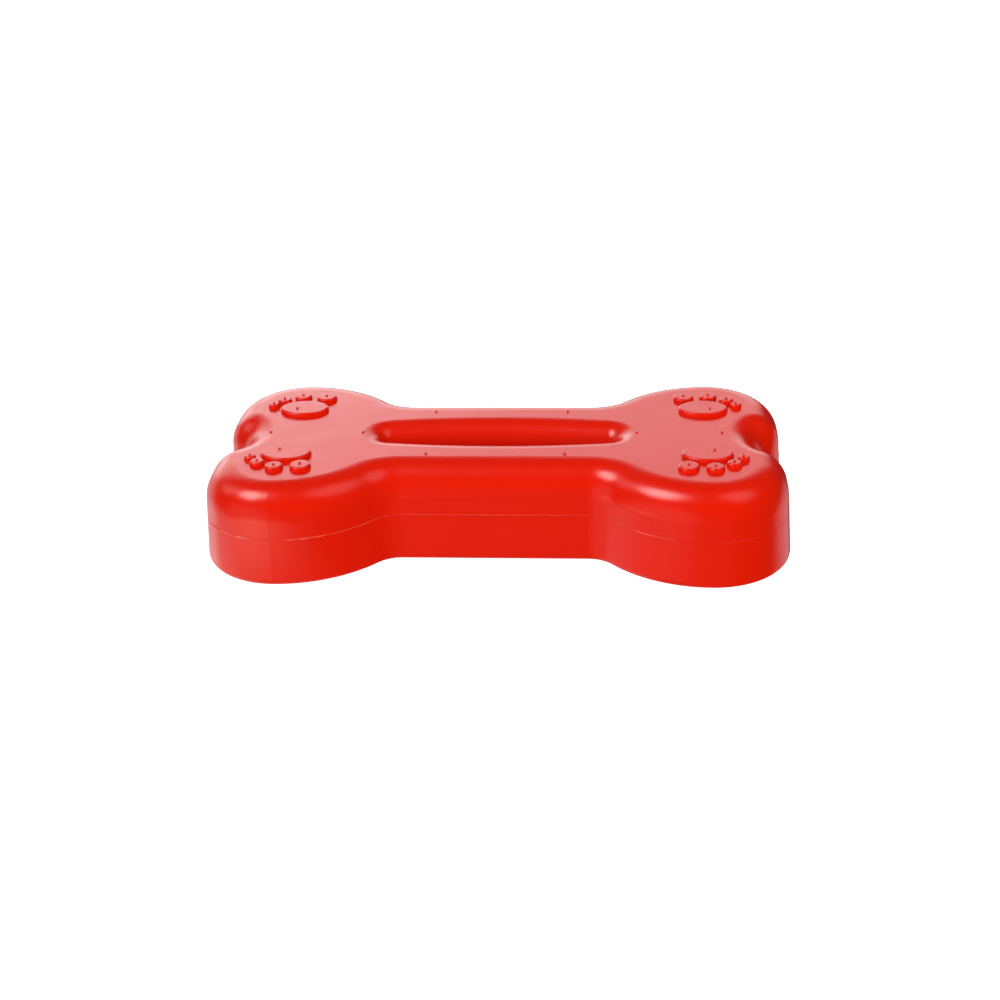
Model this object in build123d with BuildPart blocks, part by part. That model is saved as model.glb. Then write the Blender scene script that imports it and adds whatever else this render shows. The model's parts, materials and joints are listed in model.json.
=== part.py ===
import os
from math import atan2, degrees, radians, sqrt, tan

from build123d import *

# Body: end to end, across the lobes, and from flat to flat
length = 150
width = 75
body_height = 25

# Outline of one quarter where it is widest, from the notch in the end to the straight waist
notch_radius = 5.5
tip_radius = 11
tip_to_axis = 13
lobe_share = 0.2693
flank_radius = 34
waist_radius = 7.6
waist_width = 47.1

# Rounded edges, and the lean that lets the moulded walls leave the mould, in degrees
top_edge_radius = 8.5
slot_edge_radius = 6.5
bottom_edge_radius = 1.5
wall_lean = 4
slot_lean = 2

# Slot through the middle, its long sides bowed outwards
slot_length = 58.2
slot_width_middle = 5.8
slot_width_end = 2
slot_corner_share = 0.44

# Seam where the two halves are bonded
seam_share = 0.51
film_thickness = 0.3
film_proud = 0.2

# Paw print on each lobe: one oval pad and four round toes, from the inner to the outer
relief_height = 1.1
relief_lean = 8
relief_edge_radius = 0.6
pad_length = 13.2
pad_width_share = 0.7
pad_inwards = 1.2
pad_to_lobe = 3.56
toe_size_shares = (0.42, 0.36, 0.3, 0.24)
toe_out_shares = (-0.374, 0.127, 0.486, 0.669)
toe_across_shares = (0.547, 0.584, 0.409, 0.174)

# Heights of the film's two faces and of the upper half's wall
seam_height = seam_share * body_height
film_bottom = seam_height - film_thickness / 2
film_top = seam_height + film_thickness / 2
upper_height = body_height - film_top

# Centres of the outline's arcs
half_waist = waist_width / 2
lobe_radius = lobe_share * width
lobe_centre = Vector(length / 2 - lobe_radius, width / 2 - lobe_radius)
flank_centre = Vector(lobe_centre.X, width / 2 - flank_radius)
tip_centre = Vector(length / 2 - tip_radius, tip_to_axis)
notch_reach = sqrt((tip_radius + notch_radius) ** 2 - tip_to_axis**2)
notch_centre = Vector(tip_centre.X + notch_reach, 0)
waist_rise = half_waist + waist_radius - flank_centre.Y
waist_reach = sqrt((flank_radius + waist_radius) ** 2 - waist_rise**2)
waist_centre = Vector(lobe_centre.X - waist_reach, half_waist + waist_radius)


def heading(start, end):
    """Direction from one point to another, in degrees from +X."""
    return degrees(atan2(end.Y - start.Y, end.X - start.X))


def bone_face(height, proud):
    """Outline of the bone at a height, standing proud of the leaning wall there."""
    grow = proud - (height - bottom_edge_radius) * tan(radians(wall_lean))
    notch_end = heading(notch_centre, tip_centre)
    tip_start = heading(tip_centre, notch_centre)
    end = length / 2 + grow
    flank_end = heading(flank_centre, waist_centre)
    waist_start = heading(waist_centre, flank_centre)
    with BuildLine() as edge:
        CenterArc(notch_centre, notch_radius - grow, 180, notch_end - 180)
        CenterArc(tip_centre, tip_radius + grow, tip_start, -tip_start)
        Line((end, tip_to_axis), (end, lobe_centre.Y))
        CenterArc(lobe_centre, lobe_radius + grow, 0, 90)
        CenterArc(flank_centre, flank_radius + grow, 90, flank_end - 90)
        CenterArc(waist_centre, waist_radius - grow, waist_start, -90 - waist_start)
        Line((waist_centre.X, half_waist + grow), (0, half_waist + grow))
        mirror(about=Plane.YZ)
        mirror(about=Plane.XZ)
    with BuildSketch(Plane.XY.offset(height)) as face:
        make_face(edge.edges())
    return face.sketch


def slot_face(height, grow):
    """Outline of the slot at a height, its wall moved outwards by grow."""
    end = slot_length / 2 + grow
    corner = slot_width_end / 2 + grow
    middle = slot_width_middle / 2 + grow
    with BuildLine() as edge:
        ThreePointArc((-end, corner), (0, middle), (end, corner))
        Line((end, corner), (end, -corner))
        ThreePointArc((end, -corner), (0, -middle), (-end, -corner))
        Line((-end, -corner), (-end, corner))
    with BuildSketch(Plane.XY.offset(height)) as face:
        make_face(edge.edges())
        fillet(face.vertices(), radius=slot_corner_share * slot_width_end + grow)
    return face.sketch


# Faces of the halves at the seam and underneath, and of the film between them
upper_bone = bone_face(film_top, 0)
upper_slot = slot_face(film_top, 0)
lower_bone = bone_face(0, 0)
lower_slot = slot_face(film_bottom, 0)
film_bone = bone_face(film_bottom, film_proud)
film_slot = slot_face(film_bottom, -film_proud)

# Paw prints of the four lobes
pad_place = lobe_centre - Vector(pad_inwards, pad_to_lobe)
with BuildSketch(Plane.XY.offset(body_height)) as paw_prints:
    with Locations(pad_place):
        Ellipse(pad_length / 2, pad_width_share * pad_length / 2)
    for size, out, across in zip(toe_size_shares, toe_out_shares, toe_across_shares):
        with Locations(pad_place + Vector(out, across) * pad_length):
            Circle(size * pad_length / 2)
    mirror(about=Plane.YZ)
    mirror(about=Plane.XZ)

# Upper half: large round-overs on the flat's outer edge and into the slot, paw prints moulded on
with BuildPart() as upper_half:
    extrude(upper_bone, amount=upper_height, taper=wall_lean)
    extrude(upper_slot, amount=upper_height, taper=-slot_lean, mode=Mode.SUBTRACT)
    fillet(faces().sort_by(Axis.Z)[-1].outer_wire().edges(), radius=top_edge_radius)
    fillet(faces().sort_by(Axis.Z)[-1].inner_wires()[0].edges(), radius=slot_edge_radius)
    extrude(paw_prints.sketch, amount=relief_height, taper=relief_lean)
    fillet(edges().group_by(Axis.Z)[-1], radius=relief_edge_radius)
upper_half.part.label = "upper_half"

# Lower half: the same outline and slot, plain and flat underneath
with BuildPart() as lower_half:
    extrude(lower_bone, amount=film_bottom, taper=wall_lean)
    extrude(lower_slot, amount=-film_bottom, taper=-slot_lean, mode=Mode.SUBTRACT)
    fillet(faces().sort_by(Axis.Z)[0].outer_wire().edges(), radius=bottom_edge_radius)
    fillet(faces().sort_by(Axis.Z)[0].inner_wires()[0].edges(), radius=bottom_edge_radius)
lower_half.part.label = "lower_half"

# Film of rubber cement between the halves, its rim standing a little proud
with BuildPart() as bond_film:
    extrude(film_bone, amount=film_thickness)
    extrude(film_slot, amount=film_thickness, mode=Mode.SUBTRACT)
bond_film.part.label = "bond_film"

os.makedirs("parts", exist_ok=True)
for piece in (upper_half, lower_half, bond_film):
    export_step(piece.part, f"parts/{piece.part.label}.step")
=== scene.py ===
# %% [markdown]
# # A moulded rubber chew toy
# The object is a red rubber bone for a dog: flat on top, with a bowed slot through
# the middle and a paw print on each of its four lobes. Its CAD solids already have
# the right shapes, so this lesson keeps the two halves as they are. It gives them the
# finish of moulded rubber, and adds what the mould leaves behind: the ragged flash
# along the seam and the small pips of the air vents.

# %% Load the solids
import json
import math
import random

import bpy
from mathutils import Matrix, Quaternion, Vector, noise

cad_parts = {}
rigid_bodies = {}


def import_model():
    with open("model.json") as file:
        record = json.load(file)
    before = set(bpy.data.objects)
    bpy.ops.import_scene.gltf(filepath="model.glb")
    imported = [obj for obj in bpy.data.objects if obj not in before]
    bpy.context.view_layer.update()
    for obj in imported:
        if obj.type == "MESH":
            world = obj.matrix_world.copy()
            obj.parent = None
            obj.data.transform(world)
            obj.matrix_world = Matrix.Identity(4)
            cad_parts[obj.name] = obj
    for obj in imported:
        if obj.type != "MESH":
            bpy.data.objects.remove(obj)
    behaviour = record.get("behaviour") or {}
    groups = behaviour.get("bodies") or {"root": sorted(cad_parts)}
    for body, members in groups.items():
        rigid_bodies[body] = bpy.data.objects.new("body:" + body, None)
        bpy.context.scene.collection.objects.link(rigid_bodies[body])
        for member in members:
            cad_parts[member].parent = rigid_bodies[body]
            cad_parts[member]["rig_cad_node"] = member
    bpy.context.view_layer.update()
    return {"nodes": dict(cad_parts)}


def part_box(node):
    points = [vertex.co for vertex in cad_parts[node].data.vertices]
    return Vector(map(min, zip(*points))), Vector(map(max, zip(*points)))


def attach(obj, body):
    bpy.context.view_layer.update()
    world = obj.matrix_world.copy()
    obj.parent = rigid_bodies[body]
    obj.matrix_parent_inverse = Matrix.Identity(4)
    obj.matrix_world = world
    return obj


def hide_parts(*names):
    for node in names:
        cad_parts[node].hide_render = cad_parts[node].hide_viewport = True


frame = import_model()
nodes = frame["nodes"]
print("solids:", {name: len(node.data.polygons) for name, node in nodes.items()})

# %% [markdown]
# Sizes are easier to read in millimetres, while Blender works in metres. One factor
# turns the first into the second. Colours are written as the sRGB hex values that a
# picture shows, and one function turns them into the linear light that a shader needs.

# %% Units and colours
MM = 0.001


def linear(hex_colour):
    """An sRGB colour such as #e31a02 as linear red, green, blue and alpha."""
    shares = [int(hex_colour[i : i + 2], 16) / 255 for i in (1, 3, 5)]
    return [s / 12.92 if s <= 0.04045 else ((s + 0.055) / 1.055) ** 2.4 for s in shares] + [1]


skin_red = linear("#e31a02")
white = linear("#ffffff")
print("red of the skin in linear light:", [round(c, 3) for c in skin_red])

# %% [markdown]
# Every finish here is a small tree of shader nodes. The first function adds one node,
# sets its properties, and either fills each input with a value or links it to an output
# of an earlier node. Inputs are named as Blender shows them, or counted where two have
# the same name. The second one starts a finish, with the place on the object that a
# pattern is measured from.

# %% Two functions for finishes


def add_node(tree, kind, inputs=None, **settings):
    """Add a node of a kind to a tree, with its settings, input values and links."""
    node = tree.nodes.new("ShaderNode" + kind)
    for name, value in settings.items():
        setattr(node, name, value)
    for name, value in (inputs or {}).items():
        if isinstance(value, bpy.types.NodeSocket):
            tree.links.new(value, node.inputs[name])
        else:
            node.inputs[name].default_value = value
    return node


def new_finish(name):
    """An empty material, its node tree, and the place that a pattern is measured from."""
    finish = bpy.data.materials.new(name)
    finish.use_nodes = True
    finish.node_tree.nodes.clear()
    coords = add_node(finish.node_tree, "TexCoord")
    return finish, finish.node_tree, coords.outputs["Object"]


# %% [markdown]
# The body is natural rubber with a strong red pigment, pressed hot in a steel mould.
# The mould was blasted with fine grit and then polished by hand, so the rubber has a
# satin skin: broad soft highlights, faint waves where it shrank as it cooled, and a
# colour that drifts a little where the pigment mixed unevenly. The waves and the
# drift are noise at their real size. The grit of about 0.1 mm is finer than a pixel,
# so it is drawn at 0.6 mm.

# %% Moulded natural rubber
rubber_ior = 1.52
drift_size = 16 * MM
wave_size = 11 * MM
wave_height = 0.1 * MM
grit_size = 0.6 * MM
grit_low, grit_high = 0.3, 0.7
smoothest, roughest = 0.2, 0.25

rubber, tree, place = new_finish("moulded_natural_rubber_satin_red")
drift = add_node(tree, "TexNoise", {"Vector": place, "Scale": 1 / drift_size, "Detail": 3, "Roughness": 0.5})
mix = {"Factor": drift.outputs["Fac"], 6: skin_red, 7: linear("#e91c03")}
colour = add_node(tree, "Mix", mix, data_type="RGBA")
grit = add_node(tree, "TexNoise", {"Vector": place, "Scale": 1 / grit_size, "Detail": 2, "Roughness": 0.6})
span = {"From Min": grit_low, "From Max": grit_high, "To Min": smoothest, "To Max": roughest}
skin = add_node(tree, "MapRange", {"Value": grit.outputs["Fac"], **span})
wave = add_node(tree, "TexNoise", {"Vector": place, "Scale": 1 / wave_size, "Detail": 1})
waves = add_node(tree, "Bump", {"Height": wave.outputs["Fac"], "Distance": wave_height, "Strength": 1.0})
look = {"Base Color": colour.outputs[2], "Roughness": skin.outputs["Result"], "IOR": rubber_ior}
shader = add_node(tree, "BsdfPrincipled", {**look, "Normal": waves.outputs["Normal"]})
add_node(tree, "OutputMaterial", {"Surface": shader.outputs["BSDF"]})

for name in ("upper_half", "lower_half"):
    nodes[name].data.materials.clear()
    nodes[name].data.materials.append(rubber)
print("finish of the halves:", rubber.name)

# %% [markdown]
# Rubber that creeps between the two halves of a mould leaves flash, a fin as thin as
# paper along the seam. It is trimmed by hand, so some stretches of it stay and others
# are cut flush. The CAD film between the halves has an even rim all the way round, so
# a copy of it is merged and worked on: the flat faces go, the rim is divided into short
# lengths, and it is drawn back to the walls. Two functions help. One copies a solid,
# and the other selects what passes a test.

# %% A copy to work on, and a way to select
merge_distance = 0.001 * MM


def start_from(node, name):
    """A merged copy of a CAD solid, in edit mode, to shape into a new piece."""
    bpy.ops.object.select_all(action="DESELECT")
    node.select_set(True)
    bpy.context.view_layer.objects.active = node
    bpy.ops.object.duplicate()
    piece = bpy.context.active_object
    piece.name = piece.data.name = name
    del piece["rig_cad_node"]
    bpy.ops.mesh.customdata_custom_splitnormals_clear()
    bpy.ops.object.mode_set(mode="EDIT")
    bpy.ops.mesh.select_all(action="SELECT")
    bpy.ops.mesh.remove_doubles(threshold=merge_distance)
    return piece


def select(piece, kind, test):
    """Select the vertices, edges or faces of a piece that pass a test, and count them."""
    bpy.ops.mesh.select_mode(type=kind)
    bpy.ops.mesh.select_all(action="DESELECT")
    bpy.ops.object.mode_set(mode="OBJECT")
    mesh = piece.data
    parts = {"VERT": mesh.vertices, "EDGE": mesh.edges, "FACE": mesh.polygons}[kind]
    count = 0
    for part in parts:
        part.select = test(part)
        count += part.select
    bpy.ops.object.mode_set(mode="EDIT")
    return count


# %% The rim of the film, divided
film_low, film_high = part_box("bond_film")
seam_z = (film_low.z + film_high.z) / 2
rim_proud = 0.2 * MM
step = 0.6 * MM
level = 0.01 * MM

flash = start_from(nodes["bond_film"], "seam_flash")
select(flash, "FACE", lambda face: abs(face.normal.z) > 0.5)
bpy.ops.mesh.delete(type="FACE")
bpy.ops.mesh.select_all(action="SELECT")
bpy.ops.mesh.tris_convert_to_quads()


def is_long(edge):
    """True for an edge that runs along the rim and is longer than one step."""
    a, b = [flash.data.vertices[v].co for v in edge.vertices]
    return abs(a.z - b.z) < level and (a - b).length > step


while select(flash, "EDGE", is_long):
    bpy.ops.mesh.subdivide(number_cuts=1)
bpy.ops.mesh.select_all(action="SELECT")
bpy.ops.transform.shrink_fatten(value=-rim_proud)
bpy.ops.object.mode_set(mode="OBJECT")
print("points along the seam:", len(flash.data.vertices))

# %% [markdown]
# How much flash is left at each place becomes a share for each of the rim's points.
# The stretches that show from the front are set one by one, with their middle and half
# length in millimetres and how far they stand out. A high power keeps them even and
# ends them quickly. Round the back and in the slot a slow noise decides, and a fine
# noise makes every stretch ragged.

# %% Flash that was trimmed by hand
ragged_size, ragged_mean, ragged_swing = 1.5 * MM, 0.85, 0.5
slow_size, slow_mean, slow_swing = 19 * MM, 0.3, 1.4
end_power = 4
front_y = -15 * MM
front_stretches = [
    (-65, 7, 1.0),
    (-46, 6, 0.85),
    (-34, 8, 0.45),
    (-2, 29, 0.35),
    (37, 9, 0.6),
    (61, 6, 0.15),
]


def flash_left(point):
    """Share of the full flash that is left at a point of the seam."""
    ragged = ragged_mean + ragged_swing * noise.noise(point / ragged_size)
    if point.y < front_y:
        runs = []
        for middle, half, share in front_stretches:
            from_middle = abs(point.x / MM - middle) / half
            runs.append(share * max(0, 1 - from_middle**end_power))
        return max(runs) * ragged
    return max(0, slow_mean + slow_swing * noise.noise(point / slow_size)) * ragged


shares = [min(1, flash_left(vertex.co)) for vertex in flash.data.vertices]
print("smallest and largest share:", round(min(shares), 2), round(max(shares), 2))

# %% [markdown]
# The trimmed flash is painted paler than the toy. This pale red is a painted highlight:
# it stands in for the fine light line that the flash's edge catches along its sides. Its
# finish runs from the red of the skin, where the knife cut flush, to a pale red where
# flash is left. The shares go into a colour attribute, and the finish reads that.

# %% Trimmed rubber with a painted highlight
trimmed, tree, _ = new_finish("trimmed_rubber_flash_painted_highlight")
left = add_node(tree, "Attribute", attribute_name="painted_highlight_share")
# Painted highlight: the pale red where flash is left stands in for the light line its edge catches.
mix = {"Factor": left.outputs["Fac"], 6: skin_red, 7: linear("#ee5a48")}
colour = add_node(tree, "Mix", mix, data_type="RGBA")
look = {"Base Color": colour.outputs[2], "Roughness": 0.3, "IOR": rubber_ior}
shader = add_node(tree, "BsdfPrincipled", look)
add_node(tree, "OutputMaterial", {"Surface": shader.outputs["BSDF"]})
print("finish of the flash:", trimmed.name)

# %% [markdown]
# The shares are also the weights of a Displace modifier. Only the lower edge of the
# rim gets a weight, so the rim becomes a sloping lip, as flash does when it is pulled
# off downwards. Solidify gives the lip a root between the halves. The weights come
# before the colours, because a new layer of weights moves the mesh's other data.

# %% A lip along the seam
flash_height = 0.32 * MM
root_depth = 1 * MM
flash_crease = math.radians(40)

fin = flash.vertex_groups.new(name="fin")
for vertex in flash.data.vertices:
    if vertex.co.z < seam_z:
        fin.add([vertex.index], shares[vertex.index], "REPLACE")
# The same shares, as a colour attribute, set how much painted highlight the flash's colour gets.
painted_highlight_share = flash.data.color_attributes.new("painted_highlight_share", "FLOAT_COLOR", "POINT")
for point, share in zip(painted_highlight_share.data, shares):
    point.color = (share, share, share, 1)

bpy.ops.object.modifier_add(type="DISPLACE")
push = flash.modifiers[-1]
push.vertex_group, push.strength, push.mid_level = fin.name, flash_height, 0
bpy.ops.object.modifier_apply(modifier=push.name)
bpy.ops.object.modifier_add(type="SOLIDIFY")
root = flash.modifiers[-1]
root.thickness, root.offset = root_depth, -1
bpy.ops.object.modifier_apply(modifier=root.name)
bpy.ops.object.shade_smooth_by_angle(angle=flash_crease)
flash.vertex_groups.clear()
flash.data.materials.clear()
flash.data.materials.append(trimmed)
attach(flash, "root")
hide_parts("bond_film")
print("flash faces:", len(flash.data.polygons))

# %% [markdown]
# As the rubber fills the mould, air leaves through fine vents, and a thread of rubber
# follows it. The threads are torn off and leave pips: dark stubs under a millimetre
# wide, with a cupped, rough end. There is one on each pad and toe, one by each notch,
# one by each end of the slot and two on each rail. Torn rubber is duller and a little
# darker than the skin, with a grain of a third of a millimetre.

# %% Torn rubber for the pips
tear_size = 0.35 * MM
tear_depth = 0.02 * MM

torn, tree, place = new_finish("torn_natural_rubber_red")
tear = add_node(tree, "TexNoise", {"Vector": place, "Scale": 1 / tear_size, "Detail": 3})
mix = {"Factor": tear.outputs["Fac"], 6: linear("#cc2a1e"), 7: linear("#de3a2c")}
colour = add_node(tree, "Mix", mix, data_type="RGBA")
grain = add_node(tree, "Bump", {"Height": tear.outputs["Fac"], "Distance": tear_depth, "Strength": 1.0})
look = {"Base Color": colour.outputs[2], "Roughness": 0.45, "IOR": rubber_ior}
shader = add_node(tree, "BsdfPrincipled", {**look, "Normal": grain.outputs["Normal"]})
add_node(tree, "OutputMaterial", {"Surface": shader.outputs["BSDF"]})
print("finish of the pips:", torn.name)

# %% [markdown]
# One pip is shaped from a short cylinder, with its foot sunk a little into the rubber.
# The foot is widened, the end is drawn in, and two insets sink a cup into the end.

# %% One pip
pip_sides = 12
pip_width = 0.6 * MM
pip_height = 0.38 * MM
sunk = 0.1 * MM
foot_scale, end_scale = 1.4, 0.85
rim_width = 0.07 * MM
cup_slope, cup_depth = 0.1 * MM, 0.06 * MM
pip_crease = math.radians(50)

bpy.ops.object.select_all(action="DESELECT")
bpy.ops.mesh.primitive_cylinder_add(
    vertices=pip_sides,
    radius=pip_width / 2,
    depth=pip_height + sunk,
    location=(0, 0, (pip_height - sunk) / 2),
)
pip = bpy.context.active_object
pip.name = pip.data.name = "vent_pips"
bpy.ops.object.transform_apply(location=True, rotation=False, scale=False)
bpy.ops.object.mode_set(mode="EDIT")
select(pip, "FACE", lambda face: face.normal.z < -0.5)
bpy.ops.transform.resize(value=(foot_scale, foot_scale, 1))
select(pip, "FACE", lambda face: face.normal.z > 0.5)
bpy.ops.transform.resize(value=(end_scale, end_scale, 1))
bpy.ops.mesh.inset(thickness=rim_width)
bpy.ops.mesh.inset(thickness=cup_slope, depth=-cup_depth)
bpy.ops.object.mode_set(mode="OBJECT")
bpy.ops.object.shade_smooth_by_angle(angle=pip_crease)
pip.data.materials.append(torn)
print("faces of one pip:", len(pip.data.polygons))

# %% [markdown]
# The places of the pips are written in millimetres. Those along the middle are set one
# by one. The rest are set for one quarter of the toy and mirrored to the other three.
# A toe's pip sits on its middle, and a pad's pip a little beside the pad's middle.

# %% Places of the pips
flat_z = 25 * MM
print_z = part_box("upper_half")[1].z
middle_pips = (-60.2, 58, -35.7, 36)
rail_pip = Vector((17.7, 12.9))
pad_length = 13.2
pad = Vector((53.6, 13.74))
pad_pip = pad + Vector((1.8, -1.1))
toe_shares = ((-0.374, 0.547), (0.127, 0.584), (0.486, 0.409), (0.669, 0.174))
toes = [pad + pad_length * Vector(place_shares) for place_shares in toe_shares]

pip_places = [(x, 0, flat_z) for x in middle_pips]
for side_x in (-1, 1):
    for side_y in (-1, 1):
        pip_places.append((rail_pip.x * side_x, rail_pip.y * side_y, flat_z))
        for spot in (pad_pip, *toes):
            pip_places.append((spot.x * side_x, spot.y * side_y, print_z))
print("pips:", len(pip_places))

# %% [markdown]
# The pip is copied to every place. Each copy is turned, leaned and shortened a little
# differently, with a fixed seed, so that every run gives the same toy. In the end the
# copies are joined into one piece.

# %% A pip at every place
random.seed(7)
lean = math.radians(9)
shortest, tallest = 0.75, 1.1

pips = [pip]
while len(pips) < len(pip_places):
    bpy.ops.object.select_all(action="DESELECT")
    pip.select_set(True)
    bpy.context.view_layer.objects.active = pip
    bpy.ops.object.duplicate()
    pips.append(bpy.context.active_object)
for copy, (x, y, z) in zip(pips, pip_places):
    copy.location = (x * MM, y * MM, z)
    lean_x, lean_y = random.uniform(-lean, lean), random.uniform(-lean, lean)
    copy.rotation_euler = (lean_x, lean_y, random.uniform(0, math.tau))
    copy.scale = (1, 1, random.uniform(shortest, tallest))
bpy.ops.object.select_all(action="DESELECT")
for copy in pips:
    copy.select_set(True)
bpy.context.view_layer.objects.active = pip
bpy.ops.object.join()
bpy.ops.object.transform_apply(location=True, rotation=True, scale=True)
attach(pip, "root")
print("faces of all pips:", len(pip.data.polygons))

# %% [markdown]
# A product picture on pure white is often taken on a light table, a sheet of opal
# acrylic that is lit from below. It keeps the ground white and the toy's shadow off it.
# The sheet is a plane with a glowing finish that only the camera sees.

# %% Light table
sheet_side = 6
sheet_drop = 0.05 * MM

bpy.ops.object.select_all(action="DESELECT")
bpy.ops.mesh.primitive_plane_add(size=sheet_side, location=(0, 0, -sheet_drop))
floor = bpy.context.active_object
floor.name = "light_table"
opal, tree, _ = new_finish("opal_acrylic_sheet")
look = {"Base Color": linear("#f2f2f0"), "Roughness": 0.6, "Emission Color": white, "Emission Strength": 1.0}
shader = add_node(tree, "BsdfPrincipled", look)
add_node(tree, "OutputMaterial", {"Surface": shader.outputs["BSDF"]})
floor.data.materials.append(opal)
floor.visible_diffuse = floor.visible_glossy = floor.visible_shadow = False
print("light table:", floor.dimensions[:])

# %% [markdown]
# The light that the sheet sends up comes from a lamp under it. A second lamp fills in
# from the front, and a third from the right. All three light the rubber without showing
# as a gleam on it: a photographer does the same with a polarising filter. Each has a
# direction, a distance and a side in metres, and a brightness, where 1 is the white of
# paper.

# %% Lamps without a gleam


def toward(azimuth, elevation):
    """Direction from angles in degrees: to the right of straight behind, and up."""
    turn, rise = math.radians(azimuth), math.radians(elevation)
    return Vector((math.sin(turn) * math.cos(rise), math.cos(turn) * math.cos(rise), math.sin(rise)))


lamps = {
    "lamp_below": (toward(0, -90), 0.5, 1.6, 0.8),
    "lamp_in_front": (toward(176, 19), 1.2, 0.8, 4.6),
    "lamp_right": (toward(100, 20), 1.2, 0.8, 2.0),
}
for name, (direction, lamp_distance, side, brightness) in lamps.items():
    turned = direction.to_track_quat("Z", "Y").to_euler()
    bpy.ops.object.light_add(type="AREA", location=lamp_distance * direction, rotation=turned)
    lamp = bpy.context.active_object
    lamp.name = name
    lamp.data.size = side
    lamp.data.energy = brightness * math.pi * side**2
    lamp.data.cycles.use_multiple_importance_sampling = False
    lamp.visible_camera = lamp.visible_glossy = False
    print(name, "power in W:", round(lamp.data.energy, 1))

# %% [markdown]
# The side of a lobe mirrors the sheet right in front of it. The sheet is bright in
# front of the left lobe and in shade before the waist, so the left lobe's side is paler
# than the rest. A long card that lies flat there gives this light. It fades out towards
# its edge and lets through what lies behind it, and only mirrored rays see it.

# %% Card on the table
card_middle = Vector((-100, -108, -0.1)) * MM
card_turn = math.radians(-26.8)
card_half_width, card_half_length = 64 * MM, 110 * MM
card_light = 1.6
fade_start, fade_end = 0.2, 1

bpy.ops.object.select_all(action="DESELECT")
bpy.ops.mesh.primitive_plane_add(size=2, location=card_middle, rotation=(0, 0, card_turn))
card = bpy.context.active_object
card.name = "card_on_table"
card.scale = (card_half_width, card_half_length, 1)
glow, tree, place = new_finish("cream_card_in_light")
reach = add_node(tree, "VectorMath", {0: place}, operation="LENGTH")
span = {"From Min": fade_end, "From Max": fade_start, "To Max": card_light}
fade = add_node(tree, "MapRange", {"Value": reach.outputs["Value"], **span}, interpolation_type="SMOOTHSTEP")
cream = add_node(tree, "Emission", {"Color": linear("#fff0d8"), "Strength": fade.outputs["Result"]})
clear = add_node(tree, "BsdfTransparent")
shader = add_node(tree, "AddShader", {0: cream.outputs[0], 1: clear.outputs[0]})
add_node(tree, "OutputMaterial", {"Surface": shader.outputs["Shader"]})
card.data.materials.append(glow)
card.visible_camera = card.visible_diffuse = card.visible_shadow = False
print("card on the table:", [round(c, 3) for c in card.dimensions])

# %% [markdown]
# A satin skin is seen mostly by what it mirrors. The flat top is pale because it
# mirrors a bright backdrop low behind the toy, and the round-over below it is deep red
# because the studio is dark above that. So the studio is painted with care: each lamp
# or white card is a soft disc in the sky of the world. It has a direction, in degrees
# to the right of straight behind the toy and in degrees up, an inner angle that is
# fully bright, an outer angle where it has faded, and a brightness.

# %% Lamps and cards of the studio
cards = {
    "softbox_left": (-107, 59, 3, 18, 8.6),
    "softbox_right": (103, 62, 9, 23, 1.05),
    "backdrop_left": (-27, 15, 10, 25, 1.55),
    "backdrop_right": (0, 14, 12, 26, 1.55),
    "card_left_high": (-74, 36, 4, 16, 1.0),
    "card_left": (-138, 0, 10, 42, 0.42),
    "sweep_left": (-85, -38, 15, 38, 0.6),
    "sweep_behind": (-44, -12, 14, 36, 0.8),
    "sweep_right": (52, -24, 8, 28, 0.65),
    "sweep_in_front": (175, -22, 8, 35, 0.06),
    "table_below": (-110, -80, 20, 45, 0.2),
}
room_light = 0.03

world = bpy.data.worlds.new("studio")
bpy.context.scene.world = world
world.use_nodes = True
tree = world.node_tree
tree.nodes.clear()
sky = add_node(tree, "TexCoord").outputs["Generated"]
light = room_light
for azimuth, elevation, inner, outer, brightness in cards.values():
    facing = add_node(tree, "VectorMath", {0: sky, 1: toward(azimuth, elevation)}, operation="DOT_PRODUCT")
    faded, bright = math.cos(math.radians(outer)), math.cos(math.radians(inner))
    span = {"Value": facing.outputs["Value"], "From Min": faded, "From Max": bright, "To Max": brightness}
    disc = add_node(tree, "MapRange", span, interpolation_type="SMOOTHSTEP")
    light = add_node(tree, "Math", {0: light, 1: disc.outputs[0]}, operation="ADD").outputs[0]
print("lamps and cards:", len(cards))

# %% [markdown]
# The toy mirrors that studio and is lit by it, but the picture's ground is plain white
# paper. So the camera looks at white, and all other rays see the studio.

# %% White for the camera
studio = add_node(tree, "Background", {"Color": white, "Strength": light})
paper = add_node(tree, "Background", {"Color": white, "Strength": 1.0})
seen = add_node(tree, "LightPath").outputs["Is Camera Ray"]
mixed = add_node(tree, "MixShader", {"Fac": seen, 1: studio.outputs[0], 2: paper.outputs[0]})
add_node(tree, "OutputWorld", {"Surface": mixed.outputs[0]})
print("nodes of the world:", len(tree.nodes))

# %% [markdown]
# The camera stands where the picture was taken: low in front, a touch to the right,
# and tilted by almost two degrees. Its lens follows from how strongly the far lobes
# shrink. The Standard view keeps the whites white and the red as it is in the shader.

# %% Camera
aim = Vector((-0.204, 0, 5.079)) * MM
back = toward(175.16, 27.538)
distance = 424.587 * MM
tilt = math.radians(-1.981)

bpy.ops.object.camera_add(location=aim + distance * back)
camera = bpy.context.active_object
camera.rotation_mode = "QUATERNION"
camera.rotation_quaternion = back.to_track_quat("Z", "Y") @ Quaternion((0, 0, 1), tilt)
camera.data.sensor_width = 36
camera.data.lens = 57.243
bpy.context.scene.camera = camera
bpy.context.scene.view_settings.view_transform = "Standard"
print("camera at:", [round(c, 4) for c in camera.location])
